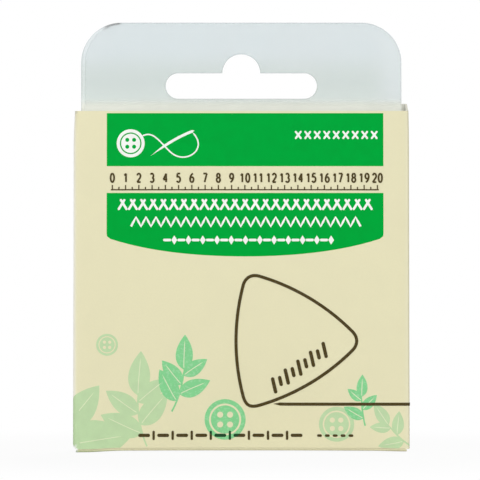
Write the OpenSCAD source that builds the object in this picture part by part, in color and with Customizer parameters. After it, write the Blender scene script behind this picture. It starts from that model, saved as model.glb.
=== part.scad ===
// Tailors chalk in its hang pack: a triangular chalk in a clear two-part case,
// which stands in an open-topped card carton with a tuck-in bottom.
// The front faces -Y, +Z is up, and the origin is under the middle of the carton, where it stands.

/* [Chalk] */
// Width of the chalk, which is the same in every direction
chalk_w = 52; // [42:0.5:54]
// Radius of the chalk's three corners
chalk_corner = 3.5; // [2.5:0.25:6]
// Thickness of the chalk at its faces
chalk_t = 6.6; // [5:0.1:9]
// Thickness of the chalk at its drawing edge
chalk_edge = 1.2; // [0.8:0.1:3]
// Width of the ground bevel that thins the chalk towards its edge
chalk_bevel = 8; // [5:0.5:11]
// Depth of the plain pressed panel in the chalk's front face
panel_depth = 0.3; // [0.1:0.05:0.8]
// Width of the flat border round the pressed panel
panel_border = 3; // [2:0.5:6]

/* [Case] */
// Thickness of the plastic sheet that each half of the case is formed from
sheet = 0.4; // [0.3:0.05:0.6]
// Width of the case across its flange and hang tab
case_w = 67.8; // [66:0.1:80]
// Height of the chalk's middle over the lower edge of the case
chalk_up = 32; // [31.5:0.25:35]
// Free space around the edge of the chalk
edge_gap = 0.5; // [0.3:0.1:1]
// Free space between the chalk and the back pan that it lies in
seat_gap = 0.25; // [0.1:0.05:0.5]
// Free space between the chalk and the front window
window_gap = 1.4; // [1:0.1:2.5]
// Free space between the chalk and the dimple that keeps it from rattling
dimple_gap = 0.3; // [0.1:0.05:0.6]
// Radius of the dimple in the window
dimple_r = 5; // [3:0.5:8]
// Depth of the pan in the back half, behind the flange
pan_depth = 2.4; // [2.3:0.1:3.5]
// Slope of the formed walls, in degrees
draft = 9; // [4:0.5:12]
// Radius where a formed wall turns into a face
form_r = 1.2; // [0.8:0.1:1.6]
// Width of the low step around the window
step_w = 1.8; // [1:0.1:3]
// Height of the low step around the window
step_h = 0.7; // [0.4:0.1:1.2]
// How far the front sheet stands in from the back sheet's left edge
front_inset = 0.8; // [0:0.1:1.5]
// Radius of the case's two lower corners
case_corner = 3; // [1.5:0.5:6]

/* [Hang tab] */
// Height of the hang tab above the carton's front panel
tab_rise = 18.9; // [17:0.1:26]
// Radius of the hang tab's upper corners
tab_corner = 8.5; // [4:0.5:12]
// Width of the hanging slot
slot_w = 32; // [26:0.5:36]
// Height of the hanging slot at its ends
slot_h = 5.4; // [4.6:0.1:7]
// Radius of the arch over the middle of the slot
arch_r = 4; // [3:0.1:5]
// Height of the slot's middle above the front panel
slot_up = 5.5; // [4.5:0.1:8]

/* [Snap studs] */
// Radius of the studs that hold the case shut
stud_r = 2.2; // [1.6:0.1:2.8]
// Height of the studs
stud_h = 1.4; // [0.8:0.1:1.6]
// Free space around a stud in its cup
stud_gap = 0.06; // [0.03:0.01:0.15]
// Distance of the studs from the side edges of the case
stud_in = 5.4; // [4.5:0.1:8]
// Height of the lower studs over the lower edge of the case
stud_low = 7; // [6.5:0.1:9]
// Height of the upper studs over the lower edge of the case
stud_high = 60; // [50:0.5:64]

/* [Carton] */
// Thickness of the card
card = 0.45; // [0.3:0.05:0.6]
// Height of the front panel
front_h = 71.7; // [70:0.1:90]
// How much taller the back panel is than the front panel
back_rise = 1.8; // [0.2:0.1:3]
// Width of the slope at the back panel's upper corner, beside the glued side
back_slope = 1.1; // [0.5:0.1:3]
// Free space on each side of the case in the carton
side_gap = 1; // [0.8:0.05:3]
// Free space behind the case in the carton
back_gap = 0.2; // [0.1:0.05:1]
// Free space in front of the case in the carton
front_gap = 0.35; // [0.1:0.05:1]
// Outside radius of the carton's folded edges
fold_r = 0.8; // [0.65:0.05:1.3]
// Width of the glued flap inside the left side panel
glue_w = 7; // [5:0.25:8]
// How far the glued flap stops short of the carton's rims
glue_in = 4; // [2.5:0.5:8]

/* [Carton bottom] */
// Height of the closing flap over the carton's lower rim
rim = 0.3; // [0:0.1:2]
// Free space between flaps that lie on each other, and under the case
lay_gap = 0.1; // [0.05:0.05:0.3]
// Free space between the closing flap and the folded edges at its ends
flap_gap = 0.25; // [0.1:0.05:1]
// Length of the lock notch at each end of the closing flap's back crease
notch_w = 3; // [1:0.5:6]
// How far the tuck tongue reaches round from the closing flap, in degrees
tongue_turn = 28; // [20:1:31]
// Radius of the tongue's free corners
tongue_corner = 3; // [1:0.5:4]
// How much each end of the tongue slopes in towards its free edge
tongue_slope = 1.5; // [0.5:0.5:4]
// How far each dust flap reaches in from its side panel
dust_reach = 17; // [8:0.5:28]
// Radius of the dust flaps' free corners
dust_corner = 2.5; // [1:0.5:3.5]

/* [Hidden] */
$fn = 96;
eps = 0.01;
far = 200;

cream = [0.90, 0.89, 0.75];
card_inside = [0.82, 0.81, 0.76];
clear_frosted = [0.86, 0.89, 0.87, 0.6];
chalk_blue = [0.36, 0.58, 0.80];

// The chalk's outline is drawn round three corner points, which are side apart.
side = chalk_w - 2 * chalk_corner;
corner_points = [for (a = [90, 210, 330]) side / sqrt(3) * [cos(a), sin(a)]];

// A rounding is cut this far outside the surfaces that it runs into,
// so that they cross it instead of only touching it.
corner_trim = 0.02;
edge_trim = 0.005;

// The case is set out from the plane where its two halves meet.
hollow_r = chalk_corner + edge_gap;
case_low = rim + 2 * card + 2 * lay_gap + sheet;
case_high = front_h + tab_rise;
chalk_z = case_low + chalk_up;
slot_z = front_h + slot_up;
window_h = chalk_t + seat_gap + window_gap + 2 * sheet - pan_depth;
dimple_depth = window_gap - dimple_gap;

// The carton is made to fit the case.
carton_w = case_w + 2 * side_gap + 2 * card;
carton_d = 2 * card + back_gap + pan_depth + window_h + front_gap;
back_h = front_h + back_rise;
panel_w = carton_w - 2 * fold_r;
inner_x = carton_w / 2 - card;
inner_y = carton_d / 2 - card;
bend_y = carton_d / 2 - fold_r;
meet_y = inner_y - back_gap - pan_depth;
chalk_back_y = meet_y + pan_depth - sheet - seat_gap;

// The closing flap turns about the crease at the foot of the front panel.
// The tongue is bowed round that crease, so that it slides out along its own curve.
crease_y = card / 2 - carton_d / 2;
crease_z = rim + card / 2;
crease_gap = 0.05;
tongue_gap = 0.1;
tongue_r = inner_y - tongue_gap - crease_y;
tongue_low = rim + card;
flap_w = panel_w - 2 * flap_gap;
tongue_w = flap_w - 2 * notch_w;

// The dust flaps lie on the closing flap, clear of the tongue.
// Each is folded in from its side panel, which ends where that fold begins.
dust_z = rim + card + lay_gap;
side_foot = dust_z + fold_r;
dust_front = tongue_gap - bend_y;
dust_back = crease_y + tongue_r - card - tongue_gap;

// Stands a shape drawn in X and Z on the plane at y, with its height towards the front
module facing(y) {
    translate([0, y, 0]) rotate([90, 0, 0]) children();
}

// Stands a shape drawn in X and Z on the plane at y, with its height towards the back
module backing(y) {
    translate([0, y, 0]) rotate([90, 0, 0]) mirror([0, 0, 1]) children();
}

// Extrudes a section drawn in Y and Z along X, about the middle
module along_x(length) {
    rotate([90, 0, 90]) linear_extrude(length, center = true) children();
}

// Rectangle with one radius at its two lower corners and another at its two upper ones
module round_plate(left, right, low, high, low_r, high_r) {
    middle = (low + high) / 2;
    translate([left, low + low_r]) square([right - left, high - low - low_r - high_r]);
    translate([left + low_r, low]) square([right - left - 2 * low_r, middle - low]);
    translate([left + high_r, middle]) square([right - left - 2 * high_r, high - middle]);
    for (x = [left + low_r, right - low_r]) translate([x, low + low_r]) circle(low_r);
    for (x = [left + high_r, right - high_r]) translate([x, high - high_r]) circle(high_r);
}

// Prism beyond one corner point, where the corner's own rounding belongs
module corner_wedge(i) {
    p = corner_points[i];
    a = corner_points[(i + 1) % 3];
    b = corner_points[(i + 2) % 3];
    translate([0, 0, -far / 2]) linear_extrude(far) polygon([p, 2 * p - a, 2 * p - b]);
}

// Carries an edge section round the chalk's outline, with r as the radius at the corners.
// The section's foot is at x = 0 and its body reaches towards -x.
module round_triangle(r) {
    difference() {
        intersection_for (p = corner_points) revolve_at(p, side + r) children();
        for (i = [0:2]) difference() {
            corner_wedge(i);
            revolve_at(corner_points[i], r + corner_trim) children();
        }
    }
}

// Turns an edge section about an upright axis through the point p, at radius r
module revolve_at(p, r) {
    translate(p) rotate_extrude() intersection() {
        translate([r, 0]) children();
        translate([0, -far]) square([far, 2 * far]);
    }
}

// Edge section of a formed shape from the level low to the level high: its wall leans in
// by the draft from the level 0, and its upper edge is rounded with radius r
module formed_edge(low, high, r) {
    difference() {
        polygon([
            [-far, low],
            [-low * tan(draft), low],
            [-high * tan(draft), high],
            [-far, high]
        ]);
        translate([-(r + (high - r) * sin(draft)) / cos(draft), high - r]) difference() {
            polygon([[0, 0], 2 * r * [cos(draft), sin(draft)], [2 * r, 2 * r], [0, 2 * r]]);
            circle(r + edge_trim);
        }
    }
}

module case_outline(inset) {
    round_plate(-case_w / 2 + inset, case_w / 2, case_low, case_high, case_corner, tab_corner);
}

module hang_slot() {
    translate([0, slot_z]) {
        square([slot_w - slot_h, slot_h], center = true);
        for (x = [-1, 1]) translate([x * (slot_w - slot_h) / 2, 0]) circle(d = slot_h);
        translate([0, slot_h / 2]) circle(arch_r);
    }
}

// The flat sheet that both halves of the case are formed from
module case_sheet(inset) {
    linear_extrude(sheet) difference() {
        case_outline(inset);
        hang_slot();
    }
}

module at_chalk() {
    translate([0, chalk_z, 0]) children();
}

module at_studs() {
    for (x = [-1, 1], up = [stud_low, stud_high])
        translate([x * (case_w / 2 - stud_in), case_low + up, 0]) children();
}

// Section of the carton's four walls, seen from above
module carton_section() {
    difference() {
        round_plate(-carton_w / 2, carton_w / 2, -carton_d / 2, carton_d / 2, fold_r, fold_r);
        round_plate(-inner_x, inner_x, -inner_y, inner_y, fold_r - card, fold_r - card);
    }
}

// The front panel ends just over the crease that the closing flap turns on.
module front_panel() {
    foot = crease_z + card / 2 + crease_gap;
    color(cream) translate([-panel_w / 2, -carton_d / 2, foot])
        cube([panel_w, card, front_h - foot]);
}

// The back panel slopes down to the left side panel, which is no taller than the front.
module back_panel() {
    color(cream) backing(inner_y) linear_extrude(card) polygon([
        [-panel_w / 2, 0],
        [panel_w / 2, 0],
        [panel_w / 2, back_h],
        [back_slope - panel_w / 2, back_h],
        [-panel_w / 2, front_h]
    ]);
}

// A side panel on the right with the two folds that join it to the front and the back.
// Its upper edge climbs from the front panel's height by the given amount.
module side_panel(climb) {
    intersection() {
        linear_extrude(back_h) intersection() {
            carton_section();
            translate([panel_w / 2, -carton_d]) square([fold_r + eps, 2 * carton_d]);
        }
        along_x(2 * carton_w) polygon([
            [-carton_d / 2 - eps, side_foot],
            [carton_d / 2 + eps, side_foot],
            [carton_d / 2 + eps, front_h + climb * (1 + eps / carton_d)],
            [-carton_d / 2 - eps, front_h - climb * eps / carton_d]
        ]);
    }
}

module right_side_panel() {
    color(cream) side_panel(back_rise);
}

module left_side_panel() {
    color(cream) mirror([1, 0, 0]) side_panel(0);
}

// Flap from the back panel, glued to the inside of the left side panel, with sloping ends
module glue_flap() {
    color(card_inside) translate([card / 2 - inner_x, 0, 0]) along_x(card) polygon([
        [bend_y, glue_in],
        [bend_y, front_h - glue_in],
        [bend_y - glue_w, front_h - glue_in - glue_w / 2],
        [bend_y - glue_w, glue_in + glue_w / 2]
    ]);
}

// Flap folded in from the foot of the right side panel, over the closing flap, with its fold
module right_dust_flap() {
    tip = inner_x - dust_reach;
    color(cream) intersection() {
        linear_extrude(side_foot)
            round_plate(tip, carton_w, dust_front, dust_back, dust_corner, dust_corner);
        facing(carton_d) linear_extrude(2 * carton_d) difference() {
            round_plate(0, carton_w / 2, dust_z, back_h, fold_r, fold_r);
            round_plate(-carton_w, inner_x, dust_z + card, back_h, fold_r - card, fold_r - card);
        }
    }
}

module left_dust_flap() {
    mirror([1, 0, 0]) right_dust_flap();
}

// Flap under the carton, with a round front edge in the crease and a bent back edge.
// A notch at each end of the back crease catches on the dust flap.
module closing_flap() {
    bend = crease_y + tongue_r - card;
    color(cream) difference() {
        along_x(flap_w) {
            translate([crease_y, rim]) square([bend - crease_y, card]);
            translate([crease_y, crease_z]) circle(card / 2);
            intersection() {
                translate([bend, tongue_low]) circle(card);
                translate([bend, rim]) square(card);
            }
        }
        for (x = [-1, 1])
            translate([x * (flap_w - notch_w) / 2, bend, crease_z])
                cube([notch_w + eps, 2 * card + eps, 2 * card], center = true);
    }
}

// Tongue that is tucked in between the case and the back panel
module tuck_tongue() {
    high = crease_z + tongue_r * sin(tongue_turn);
    color(cream) intersection() {
        along_x(tongue_w) translate([crease_y, crease_z]) intersection() {
            difference() {
                circle(tongue_r);
                circle(tongue_r - card);
            }
            polygon([
                [card / 2 / tan(tongue_turn), card / 2],
                [far, card / 2],
                far * [cos(tongue_turn), sin(tongue_turn)]
            ]);
        }
        facing(carton_d) linear_extrude(2 * carton_d) intersection() {
            round_plate(-tongue_w / 2, tongue_w / 2, -high, high, tongue_corner, tongue_corner);
            polygon([
                [-tongue_w / 2, tongue_low],
                [tongue_w / 2, tongue_low],
                [tongue_w / 2 - tongue_slope, high],
                [-tongue_w / 2 + tongue_slope, high]
            ]);
        }
    }
}

// Back half of the case: a sheet with a shallow pan for the chalk and a cup for each stud
module case_back() {
    color(clear_frosted) backing(meet_y) difference() {
        union() {
            case_sheet(0);
            at_chalk() round_triangle(hollow_r + sheet) formed_edge(0, pan_depth, form_r);
            at_studs() cylinder(r = stud_r + stud_gap + sheet, h = stud_h + stud_gap + sheet);
        }
        at_chalk() round_triangle(hollow_r) formed_edge(-eps, pan_depth - sheet, form_r - sheet);
        at_studs() translate([0, 0, -eps])
            cylinder(r = stud_r + stud_gap, h = stud_h + stud_gap + eps);
    }
}

// Front half of the case: a sheet with a window over the chalk, a low step round the window,
// a dimple that keeps the chalk still, and the hollow studs
module case_front() {
    color(clear_frosted) facing(meet_y) difference() {
        union() {
            difference() {
                union() {
                    case_sheet(front_inset);
                    at_chalk() round_triangle(hollow_r + sheet) formed_edge(0, window_h, form_r);
                    at_chalk() round_triangle(hollow_r + step_w + sheet)
                        formed_edge(0, step_h + sheet, sheet);
                }
                at_chalk() round_triangle(hollow_r)
                    formed_edge(-eps, window_h - sheet, form_r - sheet);
                at_chalk() round_triangle(hollow_r + step_w) formed_edge(-eps, step_h, sheet / 2);
            }
            at_chalk() translate([0, 0, window_h - dimple_depth - sheet])
                cylinder(r = dimple_r + sheet, h = dimple_depth + sheet / 2);
            at_studs() translate([0, 0, -stud_h]) cylinder(r = stud_r, h = stud_h + sheet);
        }
        at_chalk() translate([0, 0, window_h - dimple_depth])
            cylinder(r = dimple_r, h = dimple_depth + eps);
        at_studs() translate([0, 0, sheet - stud_h]) cylinder(r = stud_r - sheet, h = stud_h + eps);
    }
}

// Folded strip along the lower edge, on which the case opens
module case_hinge() {
    left = -case_w / 2 + front_inset + case_corner;
    right = case_w / 2 - case_corner;
    color(clear_frosted) translate([(left + right) / 2, 0, 0]) along_x(right - left)
        intersection() {
            translate([meet_y, case_low]) circle(sheet);
            translate([meet_y - sheet, case_low - sheet]) square([2 * sheet, sheet]);
        }
}

// The chalk: a constant-width triangle, thinned on both faces towards its drawing edge
module chalk() {
    rise = (chalk_t - chalk_edge) / 2;
    color(chalk_blue) facing(chalk_back_y) at_chalk() difference() {
        round_triangle(chalk_corner) polygon([
            [-far, 0],
            [-chalk_bevel, 0],
            [0, rise],
            [0, rise + chalk_edge],
            [-chalk_bevel, chalk_t],
            [-far, chalk_t]
        ]);
        translate([0, 0, chalk_t - panel_depth]) intersection_for (p = corner_points)
            translate(p) cylinder(r = side + chalk_corner - chalk_bevel - panel_border, h = chalk_t);
    }
}

front_panel();
back_panel();
left_side_panel();
right_side_panel();
glue_flap();
left_dust_flap();
right_dust_flap();
closing_flap();
tuck_tongue();
case_back();
case_front();
case_hinge();
chalk();
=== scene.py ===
"""Dresses the hang pack: a card carton with generic print, a frosted case and the chalk in it.

The CAD nodes of the case, the chalk and the hidden flaps keep their shapes and get materials. The
carton's panels and its closing flap are replaced by folded sheets, and the print lies on them."""

import math

import bpy
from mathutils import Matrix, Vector
from mathutils.geometry import delaunay_2d_cdt


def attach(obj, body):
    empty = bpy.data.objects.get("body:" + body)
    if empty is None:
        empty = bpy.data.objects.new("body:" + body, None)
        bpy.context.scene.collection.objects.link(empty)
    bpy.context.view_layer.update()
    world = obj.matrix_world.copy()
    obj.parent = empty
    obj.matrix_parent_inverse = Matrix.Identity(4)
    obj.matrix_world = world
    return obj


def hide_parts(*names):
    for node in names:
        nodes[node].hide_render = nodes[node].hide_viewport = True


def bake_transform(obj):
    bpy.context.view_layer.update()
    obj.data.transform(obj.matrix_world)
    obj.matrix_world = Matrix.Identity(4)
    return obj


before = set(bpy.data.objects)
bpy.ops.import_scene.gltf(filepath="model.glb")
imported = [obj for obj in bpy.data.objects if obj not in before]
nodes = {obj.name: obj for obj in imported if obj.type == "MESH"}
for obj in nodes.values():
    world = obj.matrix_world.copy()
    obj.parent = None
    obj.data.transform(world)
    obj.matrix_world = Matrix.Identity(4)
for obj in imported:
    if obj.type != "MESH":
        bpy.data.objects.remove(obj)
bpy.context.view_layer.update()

# Lengths are in millimetres and become metres when a mesh is made. Inside a material they are
# in metres, because its coordinates are.
MM = 0.001

# The carton: half its width and depth, its card, and the heights where its panels end and begin
HALF_W = 35.35
HALF_D = 5.25
CARD = 0.45
FRONT_H = 71.7
BACK_H = 73.5
FRONT_FOOT = 0.85
SIDE_FOOT = 1.65
# Radii of its folds
CORNERS = {"front_right": 0.5, "back_right": 0.8, "back_left": 0.8, "front_left": 1.05}
# Where the front's left fold begins, going left
LEFT_FOLD = CORNERS["front_left"] - HALF_W

# The case's two sheets, which share all edges but the left one, and the slot in their hang tab
BACK_SHEET_LEFT = -33.9
FRONT_SHEET_LEFT = -33.1
SHEET_RIGHT = 33.9
SHEET_LOW = 1.8
TAB_TOP = 90.6
TAB_CORNER = 8.5
SLOT_END = 13.3
SLOT_UP = 77.2
SLOT_R = 2.7
ARCH_UP = 79.9
ARCH_R = 4.0

# Print: the middle and radius of the button that the lowest row of stitches crosses
LOW_BUTTON = (-3.4, 6.9, 4.3)

FLOOR_COLOR = (0.82, 0.82, 0.81, 1.0)


def smooth(t):
    """0 to 1 as t goes from 0 to 1, level at both ends."""
    t = max(0.0, min(1.0, t))
    return t * t * (3 - 2 * t)


def mix(a, b, t):
    """The value that lies the share t of the way from a to b."""
    return a + (b - a) * t


# Materials


def srgb(r, g, b):
    """Colour of the photo, 0 to 255, as the linear value that a socket takes."""
    out = []
    for c in (r, g, b):
        c = c / 255
        out.append(c / 12.92 if c <= 0.04045 else ((c + 0.055) / 1.055) ** 2.4)
    return (*out, 1.0)


class Shader:
    """A node material with short calls for the nodes used here."""

    def __init__(self, name):
        self.material = bpy.data.materials.new(name)
        self.material.use_nodes = True
        self.tree = self.material.node_tree
        self.surface = self.tree.nodes["Principled BSDF"]
        self.coord = self.tree.nodes.new("ShaderNodeTexCoord").outputs["Object"]

    def node(self, kind, **values):
        made = self.tree.nodes.new(kind)
        for key, value in values.items():
            if hasattr(made, key):
                setattr(made, key, value)
            else:
                self.put(made.inputs[key.replace("_", " ")], value)
        return made

    def put(self, socket, value):
        if isinstance(value, bpy.types.NodeSocket):
            self.tree.links.new(value, socket)
        else:
            socket.default_value = value

    def noise(self, scale, detail, stretch=(1, 1, 1)):
        place = self.node("ShaderNodeMapping", Vector=self.coord, Scale=stretch)
        made = self.node("ShaderNodeTexNoise", Vector=place.outputs[0], Scale=scale, Detail=detail)
        made.inputs["Roughness"].default_value = 0.55
        return made.outputs["Fac"]

    def ramp(self, value, low, high, at_low=0.0, at_high=1.0):
        """A smooth step of value from at_low to at_high, between low and high."""
        made = self.node("ShaderNodeMapRange")
        made.interpolation_type = "SMOOTHSTEP"
        for socket, v in zip(made.inputs[:5], (value, low, high, at_low, at_high)):
            self.put(socket, v)
        return made.outputs[0]

    def maths(self, operation, a, b=0.0):
        made = self.node("ShaderNodeMath")
        made.operation = operation
        self.put(made.inputs[0], a)
        self.put(made.inputs[1], b)
        return made.outputs[0]

    def plus(self, a, b):
        return self.maths("ADD", a, b)

    def minus(self, a, b):
        return self.maths("SUBTRACT", a, b)

    def times(self, a, b):
        return self.maths("MULTIPLY", a, b)

    def least(self, a, b):
        return self.maths("MINIMUM", a, b)

    def most(self, a, b):
        return self.maths("MAXIMUM", a, b)

    def size(self, a):
        return self.maths("ABSOLUTE", a)

    def distance(self, a, b):
        """Length of the slope over the two sides a and b of a right angle."""
        return self.maths("SQRT", self.plus(self.times(a, a), self.times(b, b)))

    def blend(self, factor, a, b, how="MIX"):
        """The colour a, with b in it by factor."""
        made = self.node("ShaderNodeMix")
        made.data_type = "RGBA"
        made.blend_type = how
        self.put(made.inputs["Factor"], factor)
        self.put(made.inputs[6], a)
        self.put(made.inputs[7], b)
        return made.outputs[2]

    def axis(self, letter):
        return self.node("ShaderNodeSeparateXYZ", Vector=self.coord).outputs[letter]

    def bump(self, height, distance, strength=1.0):
        made = self.node("ShaderNodeBump", Height=height, Distance=distance, Strength=strength)
        self.put(self.surface.inputs["Normal"], made.outputs[0])

    def set(self, **values):
        for key, value in values.items():
            self.put(self.surface.inputs[key.replace("_", " ")], value)

    def worn_corner(self):
        """1 where the card's white core shows, on the bevelled lower left corner of the front."""
        x, z = self.axis("X"), self.axis("Z")
        wear = self.ramp(self.noise(900, 3), 0.45, 0.6)
        left = self.ramp(self.size(self.plus(x, 0.0349)), 0.0001, 0.0007, 1, 0)
        low = self.ramp(z, 0.0004, 0.0034, 1, 0)
        nick = self.times(self.times(left, low), wear)
        # The rim rises round the fold, about as the square of the way round
        round_fold = self.least(self.plus(x, 0.0343), 0)
        rim = self.times(self.times(round_fold, round_fold), 720)
        above = self.minus(self.minus(z, 0.00057), rim)
        on_fold = self.ramp(x, -0.0346, -0.0341, 1, 0)
        bevel = self.times(self.ramp(above, 0.0001, 0.0005, 1, 0), on_fold)
        return self.most(nick, bevel)


def shade(color, amount):
    """The colour, darker or lighter by a factor."""
    return (*[c * amount for c in color[:3]], 1.0)


# The card's white core
WORN_CORE = srgb(247, 247, 244)


def printed_card(name, color, core):
    """Coated card: a faint mottle, a fine tooth, folds rubbed and painted lighter, painted shade at
    the foot's crease and the upper left corner, and the white core showing by the share core where
    the lower left corner is worn."""
    s = Shader(name)
    mottle = s.ramp(s.noise(90, 4), 0.35, 0.65)
    fine = s.ramp(s.noise(2600, 2), 0.3, 0.7)
    base = s.blend(mottle, shade(color, 0.985), shade(color, 1.01))
    base = s.blend(s.times(fine, 0.35), base, shade(color, 0.965))
    x, y, z = s.axis("X"), s.axis("Y"), s.axis("Z")
    # Both side folds are a little paler, partly rubbed wear and partly painted light that lifts the
    # shade where the card turns away, and the left one more
    edge = s.ramp(s.size(x), 0.0341, 0.0350, 0, 0.22)
    base = s.blend(edge, base, srgb(236, 234, 214))
    fold = s.times(s.ramp(x, -0.0352, -0.0345, 1, 0), s.ramp(y, -0.0046, -0.0040, 1, 0))
    base = s.blend(s.times(fold, 0.6), base, srgb(252, 249, 242))
    base = s.blend(s.times(s.worn_corner(), core), base, WORN_CORE)
    # Painted shade darkens the crease at the front's foot, greener under the corner leaf
    painted_crease_shade = s.times(s.ramp(z, 0.0003, 0.00055, 1, 0), s.ramp(y, -0.0050, -0.0044, 1, 0))
    under = s.blend(s.ramp(x, -0.0245, -0.0215), srgb(150, 178, 130), srgb(178, 172, 142))
    base = s.blend(s.times(painted_crease_shade, 0.5), base, under)
    # Painted shade greys the upper left corner too
    top = s.times(s.ramp(z, 0.0709, 0.0715), s.ramp(x, -0.0347, -0.0341, 1, 0))
    base = s.blend(s.times(top, 0.45), base, srgb(160, 160, 148))
    s.set(Base_Color=base, Roughness=s.ramp(mottle, 0, 1, 0.46, 0.54))
    s.surface.inputs["Specular IOR Level"].default_value = 0.3
    s.bump(s.noise(1500, 3), 0.00002, 0.25)
    return s.material


def raw_card(name, color):
    """Uncoated board, with fibres that lie along the panel."""
    s = Shader(name)
    fibre = s.ramp(s.noise(1400, 4, (1, 1, 0.18)), 0.3, 0.7)
    cloud = s.ramp(s.noise(160, 3), 0.3, 0.7)
    base = s.blend(fibre, shade(color, 0.93), shade(color, 1.03))
    base = s.blend(s.times(cloud, 0.4), base, shade(color, 0.96))
    s.set(Base_Color=base, Roughness=s.ramp(fibre, 0, 1, 0.78, 0.88))
    s.surface.inputs["Specular IOR Level"].default_value = 0.2
    s.bump(fibre, 0.00003, 0.3)
    return s.material


def ink(name, color, rough=0.5, level=0.2, specks=0.03, fine=3200, over=None, worn=False):
    """Print on the card: a slightly uneven solid of one ink.
    over gives a disc of another ink, by its middle and radius, and this ink's colour on it."""
    s = Shader(name)
    uneven = s.ramp(s.noise(420, 4), 0.3, 0.7)
    speck = s.ramp(s.noise(fine, 2), 0.5, 0.66)
    base = s.blend(uneven, shade(color, 0.965), shade(color, 1.02))
    base = s.blend(s.times(speck, specks), base, srgb(236, 236, 226))
    if over:
        (cx, cz, r), color_on_disc = over
        away = s.distance(s.minus(s.axis("X"), cx * MM), s.minus(s.axis("Z"), cz * MM))
        on_disc = s.ramp(away, (r - 0.05) * MM, (r + 0.05) * MM, 1, 0)
        base = s.blend(on_disc, base, color_on_disc)
    if worn:
        base = s.blend(s.times(s.worn_corner(), 0.9), base, WORN_CORE)
    s.set(Base_Color=base, Roughness=s.ramp(uneven, 0, 1, rough - 0.04, rough + 0.04))
    s.surface.inputs["Specular IOR Level"].default_value = level
    return s.material


def sheet_edges(s, x, z, left):
    """Depth of a point inside the sheet's outer edge, and inside the nearer of that and the
    slot's edge. The outline is taken as a rectangle with four round corners, of which only the
    hang tab's two show."""
    across = s.size(s.minus(x, (left + SHEET_RIGHT) / 2 * MM))
    up = s.size(s.minus(z, (SHEET_LOW + TAB_TOP) / 2 * MM))
    across = s.minus(across, ((SHEET_RIGHT - left) / 2 - TAB_CORNER) * MM)
    up = s.minus(up, ((TAB_TOP - SHEET_LOW) / 2 - TAB_CORNER) * MM)
    outer = s.minus(TAB_CORNER * MM, s.distance(s.most(across, 0), s.most(up, 0)))
    inner = s.minus(0, s.most(across, up))
    rim = s.least(outer, s.plus(inner, TAB_CORNER * MM))
    past_end = s.most(s.minus(s.size(x), SLOT_END * MM), 0)
    slot = s.minus(s.distance(past_end, s.minus(z, SLOT_UP * MM)), SLOT_R * MM)
    arch = s.minus(s.distance(x, s.minus(z, ARCH_UP * MM)), ARCH_R * MM)
    return rim, s.least(rim, s.least(slot, arch))


def frosted_sheet(name, color, alpha, left, rim_light_density=0.0):
    """Frosted sheet: cloudy, lightly rubbed, with fine lines of painted shade along its cut edges.
    left is where the sheet's left edge is, in millimetres; the hang tab ends at the others.
    The last argument is how much denser the sheet is over the carton's rim, where it is painted the
    pale cream of lit card to hide the shade on the card behind."""
    s = Shader(name)
    x, z = s.axis("X"), s.axis("Z")
    cloud = s.ramp(s.noise(55, 4), 0.3, 0.7)
    rub = s.ramp(s.noise(700, 4, (1, 1, 0.15)), 0.5, 0.75)
    rim, any_edge = sheet_edges(s, x, z, left)
    # Painted shade: a fine dark line just inside the outer edge and the slot's edge
    line = s.ramp(any_edge, 0.00012, 0.0003, 1, 0)
    # A dark nick in the edge, by the tab's upper left corner
    nick = s.ramp(s.size(s.plus(x, 0.0273)), 0.0012, 0.0022, 1, 0)
    nick = s.times(nick, s.ramp(z, 0.0870, 0.0880))
    nick = s.times(nick, s.ramp(rim, 0.0002, 0.0005, 1, 0))
    # The tab is greyer beside the slot than at its top and its foot, and paler at the right; the
    # paler foot is painted light against the shade of the carton's mouth below it
    tab = s.blend(s.ramp(z, 0.0790, 0.0850), srgb(218, 228, 225), color)
    tab = s.blend(s.ramp(z, 0.0738, 0.0785), srgb(227, 237, 233), tab)
    tab = s.blend(s.ramp(x, 0.0270, 0.0325, 0, 0.9), tab, srgb(229, 237, 238))
    # Below it the sheet is painted milky white up to the carton's rim, painted light that hides the
    # shade inside the carton's mouth
    body = s.blend(s.ramp(z, 0.035, 0.070), color, srgb(250, 252, 247))
    base = s.blend(s.ramp(z, 0.0724, 0.0752), body, tab)
    # Painted light: over the carton's rim the sheet is painted a pale cream, hiding the shade on
    # the card behind
    painted_rim_light = s.times(s.ramp(z, 0.0650, 0.0722), s.ramp(z, 0.0726, 0.0744, 1, 0))
    base = s.blend(s.times(painted_rim_light, 0.9), base, srgb(250, 252, 241))
    mottle = s.node("ShaderNodeCombineColor")
    for channel in ("Red", "Green", "Blue"):
        s.put(mottle.inputs[channel], s.ramp(cloud, 0, 1, 0.965, 1.0))
    base = s.blend(1.0, base, mottle.outputs[0], "MULTIPLY")
    # Left of the front sheet's edge the back sheet is alone, and the painted shade of its edge line
    # is stronger
    single = s.ramp(x, -0.0332, -0.0330, 1, 0)
    edge_shade_depth = s.plus(s.times(single, 0.25), 0.15)
    base = s.blend(s.times(line, edge_shade_depth), base, shade(color, 0.62))
    base = s.blend(s.times(nick, 0.9), base, shade(color, 0.2))
    s.set(Base_Color=base, Roughness=s.ramp(rub, 0, 1, 0.34, 0.48), IOR=1.5)
    # Painted light: where the sheet is milky it is denser, so the shaded card behind shows less
    milky_painted_light = s.times(s.ramp(z, 0.050, 0.071), s.ramp(z, 0.0724, 0.0752, 1, 0))
    dense = s.plus(s.times(milky_painted_light, 0.36 * alpha), s.times(line, 0.06))
    dense = s.plus(dense, s.times(single, 0.1))
    dense = s.plus(dense, s.times(painted_rim_light, rim_light_density))
    s.set(Alpha=s.plus(s.ramp(cloud, 0, 1, alpha - 0.02, alpha + 0.02), dense))
    s.surface.inputs["Specular IOR Level"].default_value = 0.35
    s.bump(s.noise(1800, 2), 0.00002, 0.3)
    return s.material


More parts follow.
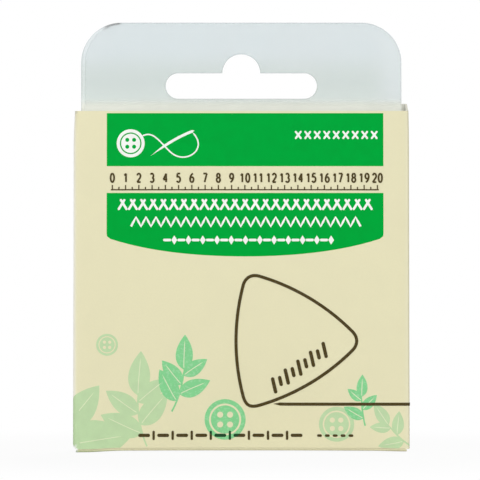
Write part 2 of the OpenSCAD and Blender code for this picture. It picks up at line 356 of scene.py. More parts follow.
def pressed_chalk(name, color):
    """Dry pressed powder: clouded, speckled and matt."""
    s = Shader(name)
    cloud = s.ramp(s.noise(140, 5), 0.3, 0.7)
    grain = s.ramp(s.noise(2400, 3), 0.35, 0.65)
    dust = s.ramp(s.noise(600, 5), 0.55, 0.8)
    base = s.blend(cloud, shade(color, 0.9), shade(color, 1.06))
    base = s.blend(s.times(grain, 0.3), base, shade(color, 0.86))
    base = s.blend(s.times(dust, 0.4), base, srgb(196, 214, 234))
    s.set(Base_Color=base, Roughness=0.93)
    s.surface.inputs["Specular IOR Level"].default_value = 0.1
    s.bump(s.plus(grain, cloud), 0.00006, 0.5)
    return s.material


CREAM = srgb(229, 223, 186)
CLEAR = srgb(225, 234, 236)
card_print = printed_card("card_print", CREAM, core=0.9)
card_inside = raw_card("card_inside", srgb(250, 248, 238))
card_edge = raw_card("card_edge", srgb(238, 235, 218))
ink_green = ink("ink_green", srgb(0, 166, 59), 0.6, 0.02, 0.0)
ink_white = ink("ink_white", srgb(245, 247, 242), 0.5, 0.1, 0.0)
brown_on_button = (LOW_BUTTON, srgb(22, 68, 36))
ink_brown = ink("ink_brown", srgb(70, 57, 20), 0.55, 0.12, over=brown_on_button)
ink_pale = ink("ink_pale", srgb(190, 216, 169), worn=True)
ink_mid = ink("ink_mid", srgb(131, 209, 144), specks=0.14, fine=2300)
ink_vein = ink("ink_vein", srgb(222, 231, 196))
back_sheet = frosted_sheet("back_sheet", CLEAR, 0.48, BACK_SHEET_LEFT)
front_sheet = frosted_sheet("front_sheet", CLEAR, 0.18, FRONT_SHEET_LEFT, 0.6)
chalk_blue = pressed_chalk("pressed_chalk", srgb(98, 145, 198))


# Meshes


def mesh_object(name, verts, faces, material, body, face_slots=None, flat=False):
    """A piece from points in millimetres; face_slots picks one of several materials by face.
    Without a body the piece rides on nothing yet."""
    mesh = bpy.data.meshes.new(name)
    mesh.from_pydata([Vector(v) * MM for v in verts], [], faces)
    for m in material if isinstance(material, list) else [material]:
        mesh.materials.append(m)
    if face_slots:
        mesh.polygons.foreach_set("material_index", face_slots)
    mesh.polygons.foreach_set("use_smooth", [not flat] * len(faces))
    mesh.validate()
    mesh.update()
    obj = bpy.data.objects.new(name, mesh)
    bpy.context.scene.collection.objects.link(obj)
    if not flat:
        mesh.set_sharp_from_angle(angle=math.radians(35))
    if body:
        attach(obj, body)
    return obj


# The carton's skin


def skin_path():
    """The carton's outline from above, as runs from the middle of the front going right.
    A line has its two ends; an arc has its middle, its radius and its first angle."""
    fr, br, bl, fl = CORNERS.values()
    w, d = HALF_W, HALF_D
    runs = [("line", (0, -d), (w - fr, -d)), ("arc", (w - fr, fr - d), fr, -90)]
    runs += [("line", (w, fr - d), (w, d - br)), ("arc", (w - br, d - br), br, 0)]
    runs += [("line", (w - br, d), (bl - w, d)), ("arc", (bl - w, d - bl), bl, 90)]
    runs += [("line", (-w, d - bl), (-w, fl - d)), ("arc", (fl - w, fl - d), fl, 180)]
    runs += [("line", (fl - w, -d), (0, -d))]
    return runs


# The runs, their lengths and the whole way round
RUNS = skin_path()
LENGTHS = [math.dist(r[1], r[2]) if r[0] == "line" else r[2] * math.pi / 2 for r in RUNS]
ROUND = sum(LENGTHS)


def outline(u):
    """Point and outward way at the distance u round the carton from its front's middle."""
    u = u % ROUND
    for run, length in zip(RUNS, LENGTHS):
        if u <= length:
            break
        u -= length
    if run[0] == "line":
        (x0, y0), (x1, y1) = run[1], run[2]
        t = u / length
        dx, dy = (x1 - x0) / length, (y1 - y0) / length
        return mix(x0, x1, t), mix(y0, y1, t), dy, -dx
    a = math.radians(run[3] + 90 * u / length)
    c, s = math.cos(a), math.sin(a)
    return run[1][0] + run[2] * c, run[1][1] + run[2] * s, c, s


def fold_wander(x):
    """Height of the fold at the front's foot over its straight line: its left end hangs."""
    return 0.12 * (1 - (x / 34) ** 2) - 0.3 * smooth((-x - 25) / 8) - 0.1 * smooth((x - 28) / 6)


def warp(x, y, z):
    """The small bows, pinches and sags that a handled carton has."""
    front = smooth((-y - 3) / 2)
    top = smooth((z - 65) / 8)
    # Narrower towards the top, more so at its left corner
    new_x = x * (1.0006 - 0.0045 * z / 72)
    new_x += 0.36 * top * smooth((-x - 30) / 5) * (0.5 + 0.5 * front)
    new_x -= 0.1 * top * smooth((x - 31) / 4)
    # The sides are a little hollow, and the front bows out
    hollow = 0.06 * math.sin(math.pi * z / 74) * smooth(abs(x) - 34) * (1 - (y / 5.3) ** 2)
    new_x -= math.copysign(hollow, x)
    bow = 0.14 * math.cos(math.pi / 2 * min(1, abs(x) / HALF_W))
    bow *= 0.3 + 0.7 * math.sin(math.pi * min(z, 80) / 80)
    return new_x, y - bow * front, z + front * smooth((7 - z) / 7) * fold_wander(x)


def skin(u, z, lift=0.0):
    """Point on the carton's printed side, lift outside it."""
    x, y, nx, ny = outline(u)
    return warp(x + nx * lift, y + ny * lift, z)


def spread(low, high, count):
    """Values from low on in count equal steps towards high, without high itself."""
    return [mix(low, high, i / count) for i in range(count)]


def build_wrap():
    """The four panels as one folded sheet with cut rims: an outer and an inner skin over
    stations round the carton and levels up it."""
    stations = []
    start = 0.0
    for run, length in zip(RUNS, LENGTHS):
        count = 10 if run[0] == "arc" else max(4, int(length / 2.2))
        stations += spread(start, start + length, count)
        # More of them where the back's rim falls off, at the left end of the back
        if run[0] == "line" and run[1][1] > 5 and run[1][0] > 0:
            stations += [start + length - d for d in (0.25, 0.5, 0.75, 1.0)]
        start += length
    levels = [0, 0.002, 0.006, 0.015, 0.03, 0.05, 0.08, 0.12]
    levels += [0.18 + 0.06 * i for i in range(13)] + [0.94, 0.965, 0.982, 0.994, 1]
    stations.sort()
    front_r, both_r = CORNERS["front_right"], CORNERS["front_right"] + CORNERS["back_right"]
    verts, faces, slots = [], [], []
    for u in stations:
        x, y, nx, ny = outline(u)
        # The upper rim climbs along the right side, and only at the back's corner on the left
        climb = max(0.0, min(1.0, (y + HALF_D - front_r) / (2 * HALF_D - both_r)))
        climb *= smooth((x + 34.7) / 1.3)
        high = mix(FRONT_H, BACK_H, climb)
        to_front = smooth(-ny / 0.6) if x > 0 else max(0.0, -ny) ** 2
        to_back = max(0.0, ny) ** 2
        low = SIDE_FOOT + (FRONT_FOOT - SIDE_FOOT) * to_front - SIDE_FOOT * to_back
        for depth in (0.0, CARD):
            for t in levels:
                verts.append(warp(x - nx * depth, y - ny * depth, mix(low, high, t)))
    n, m = len(levels), len(stations)
    for i in range(m):
        a, b = 2 * n * i, 2 * n * ((i + 1) % m)
        for k in range(n - 1):
            faces.append((a + k, b + k, b + k + 1, a + k + 1))
            slots.append(0)
            faces.append((a + n + k, a + n + k + 1, b + n + k + 1, b + n + k))
            slots.append(1)
        faces.append((a + n - 1, b + n - 1, b + 2 * n - 1, a + 2 * n - 1))
        faces.append((a, a + n, b + n, b))
        slots += [2, 2]
    obj = mesh_object(
        "carton_wrap", verts, faces, [card_print, card_inside, card_edge],
        "carton", slots,
    )
    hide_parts("front_panel", "back_panel", "left_side_panel", "right_side_panel")


def round_bend(y, z, radius, degrees):
    """Points of the bottom's middle line on a bend about y, z, each with the way to its middle."""
    bend_points = []
    for a in degrees:
        c, s = math.cos(math.radians(a)), math.sin(math.radians(a))
        bend_points.append((y + radius * c, z + radius * s, -c, -s))
    return bend_points


def build_bottom():
    """The closing flap and its tongue as one sheet, creased at the front and bent up at the back.
    Its front edge follows the bow and sag of the carton's front, and the sheet rides on no body."""
    axis_y, axis_z = -5.025, 0.525  # of the flap's joint
    flap_half, flare, tongue_half, slope, tongue_corner = 34.3, 0.45, 31.3, 1.5, 3
    flap_end, tongue_foot = 3.8, 0.75
    flat = (-4.6, -4.45, -4.3, -4.15, -3.9, -3.4, -1.7, 0, 1.7, 3, 3.79, 3.81)
    path = round_bend(-4.75, 0.8, 0.275, range(180, 271, 15))
    path += [(y, axis_z, 0, 1) for y in flat]
    path += round_bend(4.25, tongue_foot, 0.225, range(270, 361, 15))
    bend_end = len(path)
    steps = 14
    rising = [mix(1.36, 28, k / steps) for k in range(1, steps + 1)]
    # The tongue is bowed round the joint, so it slides out along itself
    path += round_bend(axis_y, axis_z, 9.5, rising)
    tongue_end = path[-1][1]
    columns = 48
    verts, faces, slots = [], [], []
    for k, (y, z, ny, nz) in enumerate(path):
        if k >= bend_end:
            # The tongue slopes in and ends in round corners
            r = tongue_corner
            into = r - (tongue_end - z)
            cut = r - math.sqrt(max(0.0, r * r - into * into)) if into > 0 else 0
            rise = (z - tongue_foot) / (tongue_end - tongue_foot)
            half = tongue_half - slope * rise - cut
        elif y < flap_end:
            # The flap is a little wider at the front
            half = flap_half + flare * smooth((-y - 3.4) / 1.2)
        else:
            half = tongue_half
        for side in (1, -1):
            for c in range(columns + 1):
                x = half * (2 * c / columns - 1)
                ease = 1 - smooth((y + 5) / 8)
                py, pz = y + side * ny * CARD / 2, z + side * nz * CARD / 2
                bow = warp(x, -5.25, 0.4)[1] + 5.25
                verts.append((x, py + bow * ease, pz + fold_wander(x) * ease))
    row = 2 * (columns + 1)
    top, under = 0, columns + 1
    for k in range(len(path) - 1):
        a, b = k * row, (k + 1) * row
        for c in range(columns):
            faces.append((a + top + c, a + top + c + 1, b + top + c + 1, b + top + c))
            faces.append((a + under + c, b + under + c, b + under + c + 1, a + under + c + 1))
            slots += [1, 0]
        for c in (0, columns):
            f = (a + top + c, b + top + c, b + under + c, a + under + c)
            faces.append(f if c == 0 else f[::-1])
            slots.append(2)
    for k in (0, len(path) - 1):
        a = k * row
        for c in range(columns):
            f = (a + top + c, a + under + c, a + under + c + 1, a + top + c + 1)
            faces.append(f if k == 0 else f[::-1])
            slots.append(2)
    obj = mesh_object(
        "bottom_flap_card", verts, faces, [card_print, card_inside, card_edge],
        None, slots,
    )
    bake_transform(obj)
    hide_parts("closing_flap", "tuck_tongue")


# Print


class Print:
    """Shapes of one ink, as thin closed sheets on the carton's skin.
    lift is how far outside the card they lie, and what is printed over another ink lies higher.
    The shapes' x is the distance round the carton from its front's middle."""

    def __init__(self, lift):
        self.lift = lift
        self.count = 0
        self.verts = []
        self.faces = []

    def sheet(self, points, faces):
        """Adds a flat net of points (u, z) with its underside and its walls.
        Each has another lift than those before it, so that shapes of one ink may overlap."""
        base, n = len(self.verts), len(points)
        self.count += 1
        lift = self.lift + 0.002 * (self.count % 9)
        self.verts += [skin(u, z, lift) for u, z in points]
        self.verts += [skin(u, z, -0.05) for u, z in points]
        used = {}  # the faces' edges; a dict and not a set, because it keeps its order
        for f in faces:
            self.faces.append(tuple(base + i for i in f))
            self.faces.append(tuple(base + n + i for i in reversed(f)))
            for a, b in zip(f, f[1:] + f[:1]):
                used[(a, b)] = True
        for a, b in used:
            if (b, a) not in used:
                self.faces.append((base + a, base + n + a, base + n + b, base + b))

    def area(self, border, step=3.0):
        """Fills a closed border, with points inside it so that the sheet follows the card,
        close together where it goes round the front's left fold."""
        points = []
        for (x0, z0), (x1, z1) in zip(border, border[1:] + border[:1]):
            count = max(1, math.ceil(math.hypot(x1 - x0, z1 - z0) / step))
            points += [(mix(x0, x1, i / count), mix(z0, z1, i / count)) for i in range(count)]
        ring = tuple(points)
        left, low = min(p[0] for p in ring), min(p[1] for p in ring)
        wide, high = max(p[0] for p in ring) - left, max(p[1] for p in ring) - low
        for i in range(1, int(wide / step) + 1):
            for k in range(1, int(high / step) + 1):
                p = (left + i * step, low + k * step)
                if p[0] > LEFT_FOLD and inside(p, ring) and clear(p, ring, step / 3):
                    points.append(p)
        across, up = 0.14, 0.7
        for i in range(int((LEFT_FOLD - left) / across) + 1 if left < LEFT_FOLD else 0):
            for k in range(1, int(high / up) + 1):
                p = (LEFT_FOLD - across * i, low + k * up)
                if inside(p, ring) and clear(p, ring, 0.06):
                    points.append(p)
        edges = [(i, (i + 1) % len(ring)) for i in range(len(ring))]
        verts, _, triangles = delaunay_2d_cdt([Vector(p) for p in points], edges, [], 1, 1e-5)[:3]
        faces = []
        for f in triangles:
            a, b, c = (verts[i] for i in f)
            turn = (b - a).cross(c - a)
            faces.append(list(f) if turn > 0 else list(reversed(f)))
        self.sheet([tuple(v) for v in verts], faces)

    def stroke(self, path, width, closed=False, taper=(0.0, 0.0)):
        """A line of this width along path; taper thins its start and end over those lengths."""
        path = thicken(path, closed)
        n = len(path)
        gone = [0.0]
        for a, b in zip(path, path[1:]):
            gone.append(gone[-1] + math.dist(a, b))
        points = []
        for i, (x, z) in enumerate(path):
            before = path[i - 1] if closed or i else path[i]
            after = path[(i + 1) % n] if closed or i < n - 1 else path[i]
            dx, dz = after[0] - before[0], after[1] - before[1]
            size = math.hypot(dx, dz) or 1.0
            w = width / 2
            if taper[0]:
                w *= smooth(0.12 + gone[i] / taper[0])
            if taper[1]:
                w *= smooth(0.12 + (gone[-1] - gone[i]) / taper[1])
            points.append((x - dz / size * w, z + dx / size * w))
            points.append((x + dz / size * w, z - dx / size * w))
        faces = []
        for i in range(n if closed else n - 1):
            a, b = 2 * i, 2 * ((i + 1) % n)
            faces.append([a, a + 1, b + 1, b])
        self.sheet(points, faces)

    def bar(self, x, z, length, width, turn=0.0, round_ends=True):
        """A short straight mark about its middle, turned by degrees."""
        c, s = math.cos(math.radians(turn)), math.sin(math.radians(turn))
        half, r = length / 2, width / 2
        border = []
        for end, first in ((1, -90), (-1, 90)):
            angles = range(first, first + 181, 30) if round_ends else (first, first + 180)
            inner = half - r if round_ends else half
            for a in angles:
                ca, sa = math.cos(math.radians(a)), math.sin(math.radians(a))
                border.append((end * inner + (r * ca if round_ends else 0), r * sa))
        self.sheet_of([(x + p * c - q * s, z + p * s + q * c) for p, q in border])

    def disc(self, x, z, r, count):
        """A round spot with this count of corners."""
        self.sheet_of([
            (x + r * math.cos(2 * math.pi * i / count), z + r * math.sin(2 * math.pi * i / count))
            for i in range(count)
        ])

    def sheet_of(self, border):
        """A small convex shape as a fan about its middle."""
        n = len(border)
        middle = (sum(p[0] for p in border) / n, sum(p[1] for p in border) / n)
        self.sheet(border + [middle], [[i, (i + 1) % n, n] for i in range(n)])

    def place(self, name, material):
        """Makes the shapes one piece of print on the carton."""
        mesh_object(name, self.verts, self.faces, material, "carton", flat=True)


def inside(p, border):
    """Whether p lies in the closed border."""
    hit = False
    for (x0, z0), (x1, z1) in zip(border, border[1:] + border[:1]):
        if (z0 > p[1]) != (z1 > p[1]) and p[0] < x0 + (p[1] - z0) / (z1 - z0) * (x1 - x0):
            hit = not hit
    return hit


def clear(p, border, gap):
    """Whether p lies farther than gap from every point of the border."""
    return all(math.dist(p, q) > gap for q in border)


def anticlockwise(border):
    double_area = sum(a[0] * b[1] - b[0] * a[1] for a, b in zip(border, border[1:] + border[:1]))
    return border if double_area > 0 else border[::-1]


def thicken(path, closed, step=1.6):
    """The path with no stretch longer than step."""
    out = []
    ends = path[1:] + path[:1] if closed else path[1:]
    for a, b in zip(path, ends):
        count = max(1, math.ceil(math.dist(a, b) / step))
        out += [(mix(a[0], b[0], i / count), mix(a[1], b[1], i / count)) for i in range(count)]
    return out if closed else out + [path[-1]]


def oval(cx, cz, rx, rz, a0, a1, count=16):
    """Points of an ellipse from the angle a0 to a1."""
    out = []
    for i in range(count + 1):
        a = math.radians(mix(a0, a1, i / count))
        out.append((cx + rx * math.cos(a), cz + rz * math.sin(a)))
    return out


def arc(cx, cz, r, a0, a1, count):
    return oval(cx, cz, r, r, a0, a1, count)


def curve(p0, p1, p2, p3, count=24):
    """Points of a Bezier curve."""
    out = []
    for i in range(count + 1):
        t = i / count
        w = ((1 - t) ** 3, 3 * t * (1 - t) ** 2, 3 * t * t * (1 - t), t ** 3)
        out.append(tuple(sum(k * p[j] for k, p in zip(w, (p0, p1, p2, p3))) for j in (0, 1)))
    return out


def block_foot(x):
    """Height of the lower block's curved lower edge, which falls off faster towards its ends."""
    u = x - 0.8
    return 41.16 + 0.00345 * u * u + 1.4e-6 * u ** 4


def green_blocks():
    """The two green blocks that the white marks lie on."""
    blocks = Print(0.012)
    left, right = -28.33, 29.93
    blocks.area([(left, 60.1), (right, 60.1), (right, 71.23), (left, 71.23)])
    low = [(x, block_foot(x)) for x in spread(left + 0.8, right - 0.8, 28) + [right - 0.8]]
    left_z, right_z = low[0][1], low[-1][1]
    border = [(left, 54.48), (left, left_z + 1.1), (left + 0.08, left_z + 0.55)]
    border += low
    border += [(right - 0.08, right_z + 0.55), (right, right_z + 1.1), (right, 54.48)]
    blocks.area(anticlockwise(border))
    blocks.place("print_green_blocks", ink_green)


def white_marks():
    """A button with needle and thread, a row of small crosses, and three rows of stitches."""
    white = Print(0.034)
    # In the upper block
    button_x, button_z = -23.3, 64.9
    white.disc(button_x, button_z, 2.95, 40)
    needle = curve((-9.9, 67.6), (-13.5, 66.2), (-16.2, 64.5), (-19.0, 62.3))
    white.stroke(needle, 0.55, taper=(0.2, 5.0))
    thread = curve((-10.3, 67.2), (-6.8, 63.8), (-11.5, 60.4), (-14.6, 62.8))
    thread += curve((-14.6, 62.8), (-17.0, 64.8), (-18.4, 67.8), (-20.9, 66.4))[1:]
    white.stroke(thread, 0.3, taper=(0.3, 0.3))
    for i in range(9):
        for turn in (52, -52):
            white.bar(12.0 + 2.0 * i, 66.65, 2.1, 0.42, turn)
    # In the lower block
    for i in range(25):
        x = -25.2 + 2.15 * i
        white.bar(x, 52.05, 2.7, 0.5, 58)
        white.bar(x + 0.45, 52.05, 2.7, 0.5, -58)
    zigzag = [(-23.2 + 1.05 * i, 47.45 + 1.95 * (i % 2)) for i in range(47)]
    white.stroke(zigzag, 0.46)
    diamond = ((0.62, 0), (0, 0.95), (-0.62, 0), (0, -0.95))
    for i in range(12):
        x = -15.6 + 3.0 * i
        white.bar(x, 44.6, 1.7, 0.55)
        white.sheet_of([(x + 1.5 + dx, 44.6 + dz) for dx, dz in diamond])
    white.place("print_white_marks", ink_white)
    # The white button's holes and rim line, where the green shows
    holes = Print(0.056)
    for dx, dz in ((0.72, 0.72), (-0.72, 0.72), (-0.72, -0.72), (0.72, -0.72)):
        holes.disc(button_x + dx, button_z + dz, 0.42, 16)
    holes.stroke(arc(button_x, button_z, 2.15, 0, 350, 35), 0.26, closed=True)
    holes.place("print_button_holes", ink_green)


# Plain figures as strokes in a box one unit wide and one high
FIGURES = {
    "0": [oval(0.5, 0.5, 0.46, 0.5, 90, 450, 24)],
    "1": [[(0.2, 0.76), (0.6, 1.0)], [(0.6, 1.0), (0.6, 0.0)]],
    "2": [oval(0.5, 0.71, 0.44, 0.29, 165, -35) + [(0.06, 0.0)], [(0.04, 0.0), (0.96, 0.0)]],
    "3": [oval(0.46, 0.75, 0.4, 0.25, 150, -80), oval(0.46, 0.26, 0.46, 0.26, 85, -150)],
    "4": [[(0.7, 1.0), (0.0, 0.3)], [(0.0, 0.3), (1.0, 0.3)], [(0.7, 1.0), (0.7, 0.0)]],
    "5": [[(0.9, 1.0), (0.18, 1.0)], [(0.18, 1.0), (0.12, 0.54)],
          oval(0.44, 0.32, 0.48, 0.32, 125, -150)],
    "6": [curve((0.8, 1.0), (0.3, 0.9), (0.04, 0.6), (0.04, 0.3), 8),
          oval(0.5, 0.3, 0.45, 0.3, 90, 450, 20)],
    "7": [[(0.04, 1.0), (0.96, 1.0)], [(0.96, 1.0), (0.36, 0.0)]],
    "8": [oval(0.5, 0.76, 0.38, 0.24, 90, 450, 18), oval(0.5, 0.27, 0.45, 0.27, 90, 450, 20)],
    "9": [curve((0.2, 0.0), (0.7, 0.1), (0.96, 0.4), (0.96, 0.7), 8),
          oval(0.5, 0.7, 0.45, 0.3, 90, 450, 20)],
}


def figures(layer, number, x, z, high, wide, line):
    """A whole number with its middle at x and its foot at z, in figures of this size."""
    gap = 0.42
    step = wide + gap
    x -= (step * (len(number) - 1) + wide) / 2
    for mark in number:
        for path in FIGURES[mark]:
            points = [(x + px * wide, z + pz * high) for px, pz in path]
            layer.stroke(points, line, closed=path[0] == path[-1])
        x += step


def bend(a, corner, b, pull):
    """The points between a and b of a curve that is drawn towards the corner."""
    from_a, to_b = ([mix(end[j], corner[j], pull) for j in (0, 1)] for end in (a, b))
    return curve(a, from_a, to_b, b, 10)[1:-1]


def triangle_line():
    """The chalk's outline: three flat arcs that run into each other at rounded corners."""
    corners = [(1.16, 37.7), (25.22, 23.4), (1.14, 9.22)]
    r, trim = 46.0, 3.3  # the arcs' radius, and the degrees that a corner takes off each
    runs = []
    for a, b in zip(corners, corners[1:] + corners[:1]):
        side = math.dist(a, b)
        back = math.sqrt(r * r - side * side / 4)
        nx, nz = (b[1] - a[1]) / side, -(b[0] - a[0]) / side
        centre = ((a[0] + b[0]) / 2 + nx * back, (a[1] + b[1]) / 2 + nz * back)
        a0 = math.degrees(math.atan2(a[1] - centre[1], a[0] - centre[0]))
        a1 = math.degrees(math.atan2(b[1] - centre[1], b[0] - centre[0]))
        a1 = a0 - (a0 - a1) % 360
        runs.append(arc(*centre, r, a0 - trim, a1 + trim, 22))
    ring = []
    for i, run in enumerate(runs):
        after = (i + 1) % 3
        pull = 0.74 if i == 1 else 0.62  # the lower left corner is sharper
        ring += run + bend(run[-1], corners[after], runs[after][0], pull)
    return ring


def brown_marks():
    """A scale with plain numbers, the chalk's outline with the line it draws, and stitches."""
    brown = Print(0.09)
    # The scale's base line, its ticks and its numbers
    brown.bar(0.75, 55.15, 56.4, 0.26, 0, False)
    zero, half_unit = -27.15, 1.395
    for i in range(41):
        z, length = (55.65, 1.0) if i % 2 == 0 else (55.45, 0.6)
        brown.bar(zero + half_unit * i, z, length, 0.24, 90, False)
    for i in range(21):
        figures(brown, str(i), zero + 2 * half_unit * i, 56.75, 1.8, 0.8, 0.37)
    brown.stroke(triangle_line(), 0.66, closed=True)
    # The line's points are close together where it goes round the right fold
    line = [(6.75, 10.2), (9.5, 10.14), (34.0, 10.13), (34.7, 10.13)]
    line += [(34.85 + 0.1 * i, 10.13) for i in range(9)] + [(37.5, 10.13)]
    brown.stroke(line, 0.64, taper=(1.2, 0))
    # A row of ticks that climbs at 35 degrees in the triangle
    c, s = math.cos(math.radians(35)), math.sin(math.radians(35))
    for i in range(9):
        t = 1.62 * (i - 4)
        brown.bar(12.2 + t * c, 17.8 + t * s, 3.5 if i % 2 == 0 else 2.2, 0.74, 103)
    # Stitches along the foot
    for i in range(9):
        x = -20.4 + 4.0 * i
        brown.bar(x, 3.55, 2.5, 0.7)
        if i < 8:
            brown.bar(x + 2.0, 3.55, 2.0, 0.5, 90)
    for i in range(5):
        brown.bar(16.4 + 1.65 * i, 3.5, 1.05, 0.55)
    brown.place("print_brown_marks", ink_brown)


def foot(u):
    """Height of the card's lower edge at u on the front or round its left fold."""
    return SIDE_FOOT + (FRONT_FOOT - SIDE_FOOT) * max(0.0, -outline(u)[3]) ** 2


def leaf(layer, veins, x, z, turn, length, width):
    """An ovate leaf from its foot at x, z, cut off at the card's lower edge.
    It may go round the left fold, but its vein ends there."""
    c, s = math.cos(math.radians(turn)), math.sin(math.radians(turn))

    def turned(points):
        return [(x + p * c - q * s, z + p * s + q * c) for p, q in points]

    side = curve(
        (0, 0), (0.18 * length, 0.72 * width), (0.62 * length, 0.62 * width), (length, 0), 12
    )
    border = turned(side[:-1] + [(p, -q) for p, q in side[:0:-1]])
    if min(p for p, _ in border) < LEFT_FOLD:
        border = thicken(border, True, 0.2)
    margin = 0.1
    border = [(p, max(foot(p) + margin, q)) for p, q in border]
    layer.area(anticlockwise(border), 2.0)
    rib = turned(curve(
        (0.06 * length, 0), (0.3 * length, 0.03 * width), (0.6 * length, 0), (0.84 * length, 0), 12
    ))
    veins.stroke([(p, max(1.0, q)) for p, q in rib if p > LEFT_FOLD], 0.17, taper=(0.0, 1.2))


def sprig(layer, veins, x, z, turn, length, size, count, bow):
    """A stem that turns by bow from its foot to its tip, with leaves on both sides and one
    at the tip."""
    path = []
    a, px, pz = turn, x, z
    steps = 24
    for _ in range(steps + 1):
        path.append((px, pz))
        px += length / steps * math.cos(math.radians(a))
        pz += length / steps * math.sin(math.radians(a))
        a += bow / steps
    layer.stroke(path, 0.34, taper=(0.0, 2.0))
    for i in range(count):
        t = mix(0.25, 0.86, i / max(1, count - 1))
        px, pz = path[int(t * steps)]
        way = turn + bow * t
        side = 1 if i % 2 == 0 else -1
        scale = mix(1.0, 0.7, t)
        leaf(layer, veins, px, pz, way + side * 50, size * scale, size * 0.5 * scale)
    leaf(layer, veins, *path[-2], turn + bow, size * 0.9, size * 0.44)


def button(layer, holes, x, z, r):
    """A button of radius r with its rim line and its four holes."""
    layer.disc(x, z, r, 36)
    holes.stroke(arc(x, z, r * 0.74, 0, 350, 35), r * 0.09, closed=True)
    for i in range(4):
        a = math.radians(45 + 90 * i)
        holes.disc(x + r * 0.34 * math.cos(a), z + r * 0.34 * math.sin(a), r * 0.15, 14)


def plants():
    """The sprigs and buttons in the lower part of the front, in two pale greens."""
    pale, mid, holes, veins = Print(0.012), Print(0.032), Print(0.052), Print(0.072)
    leaf(pale, veins, -37.6, 1.6, 8, 15.0, 8.6)
    leaf(pale, veins, -36.6, 5.4, 52, 11.0, 6.0)
    sprig(pale, veins, -19.8, 1.2, 112, 11.5, 10.4, 4, -26)
    sprig(pale, veins, 35.5, 1.5, 148, 6.6, 6.0, 3, -24)
    button(pale, holes, 20.0, 5.9, 3.7)
    button(pale, holes, -28.2, 22.6, 2.3)
    sprig(mid, veins, -14.6, 8.6, 62, 9.6, 8.2, 4, 26)
    button(mid, holes, *LOW_BUTTON)
    sprig(mid, veins, 26.0, 5.6, 104, 6.4, 5.2, 3, -16)
    pale.place("print_pale_plants", ink_pale)
    mid.place("print_mid_plants", ink_mid)
    veins.place("print_leaf_veins", ink_vein)
    holes.place("print_button_rings", card_print)


build_wrap()
build_bottom()
green_blocks()
white_marks()
brown_marks()
plants()


# The CAD pieces that are shown as they are


def dress(name, material, bevel=0.0, thin=0.0):
    """Gives a CAD node its material, with its edges rounded by bevel and its faces in by thin."""
    obj = nodes[name]
    obj.data.materials.clear()
    obj.data.materials.append(material)
    for polygon in obj.data.polygons:
        polygon.material_index = 0
    if bevel:
        m = obj.modifiers.new("edge", "BEVEL")
        m.width = bevel * MM
        m.segments = 2
        m.limit_method = "ANGLE"
        m.angle_limit = math.radians(40)
        m.harden_normals = False
    if thin:
        m = obj.modifiers.new("thin", "DISPLACE")
        m.mid_level = 0.0
        m.strength = -thin * MM


dress("glue_flap", card_inside, 0.05)
dress("left_dust_flap", card_print, 0.05)
dress("right_dust_flap", card_print, 0.05)
dress("case_back", back_sheet)
# The two sheets touch, and the front one is thinned so that no faces lie in each other
dress("case_front", front_sheet, thin=0.01)
dress("case_hinge", back_sheet)
dress("chalk", chalk_blue, 0.25)


# Floor, light and camera


def seen_rays(tree):
    """1 for the rays that show a surface to the eye, straight on or in a gloss, and 0 for light."""
    path = tree.nodes.new("ShaderNodeLightPath")
    total = path.outputs["Is Camera Ray"]
    for name in ("Is Glossy Ray", "Is Transmission Ray"):
        step = tree.nodes.new("ShaderNodeMath")
        step.operation = "MAXIMUM"
        tree.links.new(total, step.inputs[0])
        tree.links.new(path.outputs[name], step.inputs[1])
        total = step.outputs[0]
    return total


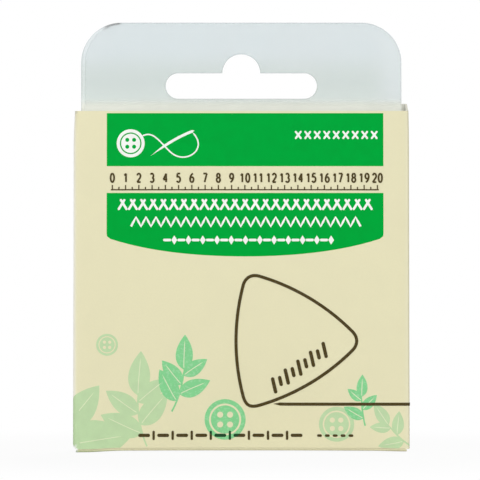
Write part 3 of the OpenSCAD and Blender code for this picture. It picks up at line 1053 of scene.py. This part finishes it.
def build_floor():
    """A plain pale floor: white to the eye far out, and a little less near the pack's shadow."""
    size, z = 900.0, -0.02
    verts = [(-size, -size, z), (size, -size, z), (size, size, z), (-size, size, z)]
    mesh = bpy.data.meshes.new("floor")
    mesh.from_pydata([Vector(v) * MM for v in verts], [], [(0, 1, 2, 3)])
    s = Shader("floor")
    s.set(Base_Color=FLOOR_COLOR, Roughness=0.9)
    s.surface.inputs["Specular IOR Level"].default_value = 0.0
    white = s.node("ShaderNodeEmission", Color=(1, 1, 1, 1), Strength=1.0)
    far = s.node("ShaderNodeVectorMath", operation="LENGTH")
    s.put(far.inputs[0], s.coord)
    share = s.ramp(far.outputs["Value"], 0.045, 0.12, 0.93, 1.0)
    seen = s.times(seen_rays(s.tree), share)
    blend = s.node("ShaderNodeMixShader")
    s.put(blend.inputs[0], seen)
    s.put(blend.inputs[1], s.surface.outputs[0])
    s.put(blend.inputs[2], white.outputs[0])
    s.put(s.tree.nodes["Material Output"].inputs["Surface"], blend.outputs[0])
    mesh.materials.append(s.material)
    floor = bpy.data.objects.new("floor", mesh)
    bpy.context.scene.collection.objects.link(floor)


def build_world():
    """Soft light from all round, and white where the background itself is seen."""
    world = bpy.data.worlds.new("studio")
    world.use_nodes = True
    bpy.context.scene.world = world
    tree = world.node_tree
    soft = tree.nodes["Background"]
    soft.inputs["Color"].default_value = (0.985, 0.99, 1.0, 1)
    soft.inputs["Strength"].default_value = 0.38
    seen = tree.nodes.new("ShaderNodeBackground")
    seen.inputs["Color"].default_value = (1, 1, 1, 1)
    seen.inputs["Strength"].default_value = 1.0
    blend = tree.nodes.new("ShaderNodeMixShader")
    tree.links.new(seen_rays(tree), blend.inputs[0])
    tree.links.new(soft.outputs[0], blend.inputs[1])
    tree.links.new(seen.outputs[0], blend.inputs[2])
    tree.links.new(blend.outputs[0], tree.nodes["World Output"].inputs["Surface"])


def area_light(name, place, size, watts):
    """A round lamp of this size in metres, aimed at the middle of the pack."""
    data = bpy.data.lights.new(name, "AREA")
    data.shape = "DISK"
    data.size = size
    data.energy = watts
    obj = bpy.data.objects.new(name, data)
    obj.location = place
    way = Vector((0, 0, 0.04)) - Vector(place)
    obj.rotation_mode = "QUATERNION"
    obj.rotation_quaternion = way.to_track_quat("-Z", "Y")
    bpy.context.scene.collection.objects.link(obj)


def build_camera():
    """Square on to the front, 0.9 m before it, with a view 0.1008 m wide there."""
    data = bpy.data.cameras.new("camera")
    data.sensor_width = 36.0
    data.lens = data.sensor_width * 0.9 / 0.1008
    data.clip_start = 0.05
    data.clip_end = 10.0
    obj = bpy.data.objects.new("camera", data)
    obj.location = (-0.00027, -0.905, 0.0446)
    obj.rotation_euler = (math.radians(90), 0, 0)
    bpy.context.scene.collection.objects.link(obj)
    bpy.context.scene.camera = obj


build_floor()
build_world()
area_light("key", (0.12, -1.6, 0.6), 0.7, 7.8)
area_light("fill", (-0.7, -1.4, 0.35), 0.9, 8.6)
area_light("back", (0.5, 1.4, 0.6), 0.8, 14.5)
build_camera()
bpy.context.scene.view_settings.view_transform = "Standard"
